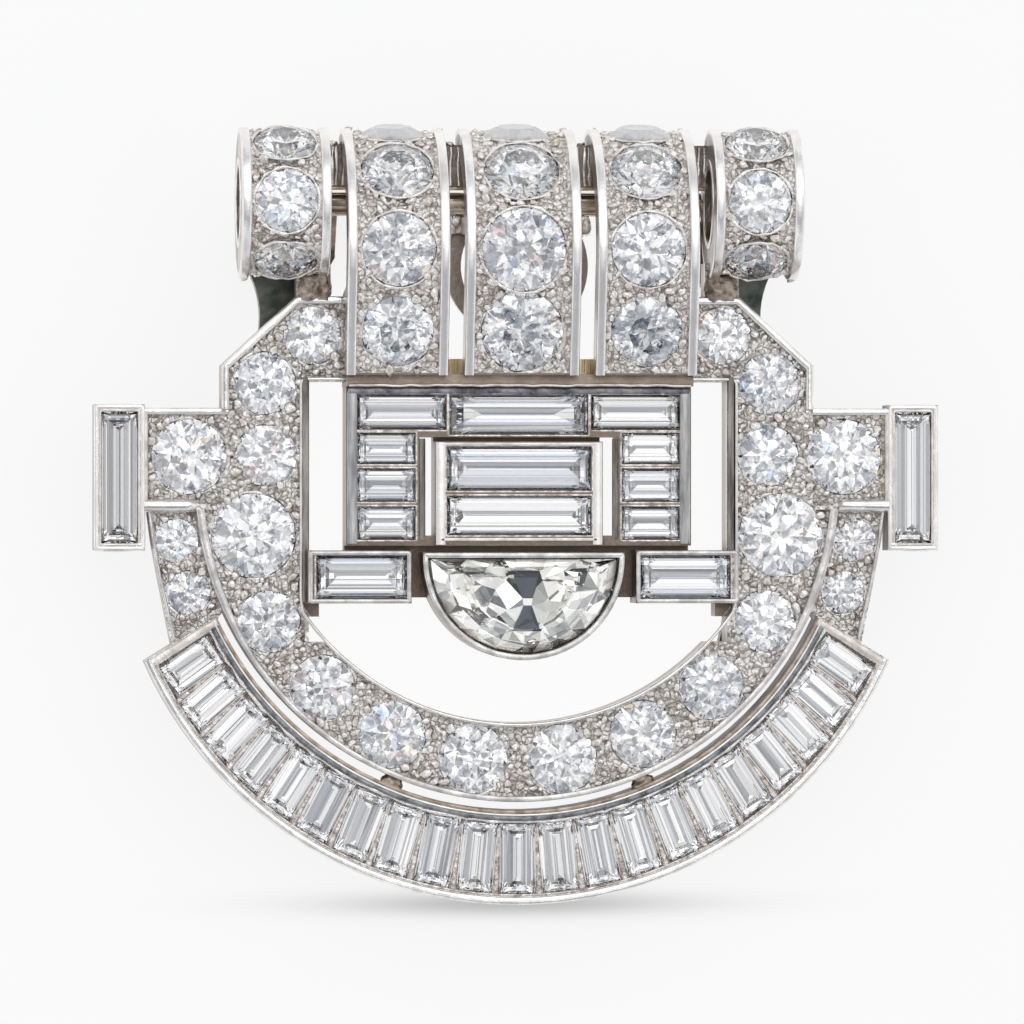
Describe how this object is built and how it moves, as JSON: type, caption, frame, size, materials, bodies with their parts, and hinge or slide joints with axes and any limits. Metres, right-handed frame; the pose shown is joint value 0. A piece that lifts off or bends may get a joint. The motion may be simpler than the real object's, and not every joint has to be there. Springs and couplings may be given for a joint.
{
  "type": "art deco diamond clip brooch",
  "caption": "Openwork platinum clip brooch set with round, baguette and half-moon diamonds, with a scrolled top and a hinged clip on its back.",
  "frame": {"origin": "middle of the brooch seen from the front, on the plane that its clip's legs lie on", "axes": "+X to the right in the picture, +Y up in the picture towards the scrolled top, +Z out of the face"},
  "size_m": [0.0424, 0.0392, 0.0093],
  "materials": {
    "platinum": "polished rims with warm grey tarnish in the recesses",
    "diamond": "cut and polished, colourless",
    "white_gold": "worn satin",
    "yellow_gold": "worn satin"
  },
  "bodies": {
    "brooch": {"mount": "platinum", "gold_rail": "yellow_gold", "hinge_pin": "yellow_gold", "left_frame_round_1": "diamond", "left_frame_round_2": "diamond", "left_frame_round_3": "diamond", "left_frame_round_4": "diamond", "left_frame_round_5": "diamond", "left_frame_round_6": "diamond", "left_frame_round_7": "diamond", "left_frame_round_8": "diamond", "left_wing_round": "diamond", "left_strip_round_upper": "diamond", "left_strip_round_lower": "diamond", "right_frame_round_1": "diamond", "right_frame_round_2": "diamond", "right_frame_round_3": "diamond", "right_frame_round_4": "diamond", "right_frame_round_5": "diamond", "right_frame_round_6": "diamond", "right_frame_round_7": "diamond", "right_frame_round_8": "diamond", "right_wing_round": "diamond", "right_strip_round_upper": "diamond", "right_strip_round_lower": "diamond", "half_moon": "diamond", "top_baguette_left": "diamond", "top_baguette_middle": "diamond", "top_baguette_right": "diamond", "block_baguette_upper": "diamond", "block_baguette_lower": "diamond", "flank_baguette_left": "diamond", "flank_baguette_right": "diamond", "wing_baguette_left": "diamond", "wing_baguette_right": "diamond", "scroll_stones_1": "diamond", "scroll_stones_2": "diamond", "scroll_stones_3": "diamond", "scroll_stones_4": "diamond", "scroll_stones_5": "diamond", "column_baguettes_left": "diamond", "column_baguettes_right": "diamond", "arc_baguettes": "diamond"},
    "clip": {"clip": "white_gold"}
  },
  "joints": [
    {"name": "clip_hinge", "type": "hinge", "parent": "brooch", "child": "clip", "pos_m": [0, 0.01555, 0.0026], "axis": [1, 0, 0], "range_deg": [0, 70], "stiffness_Nm_per_rad": 0.002, "springref_deg": -20.05}
  ]
}
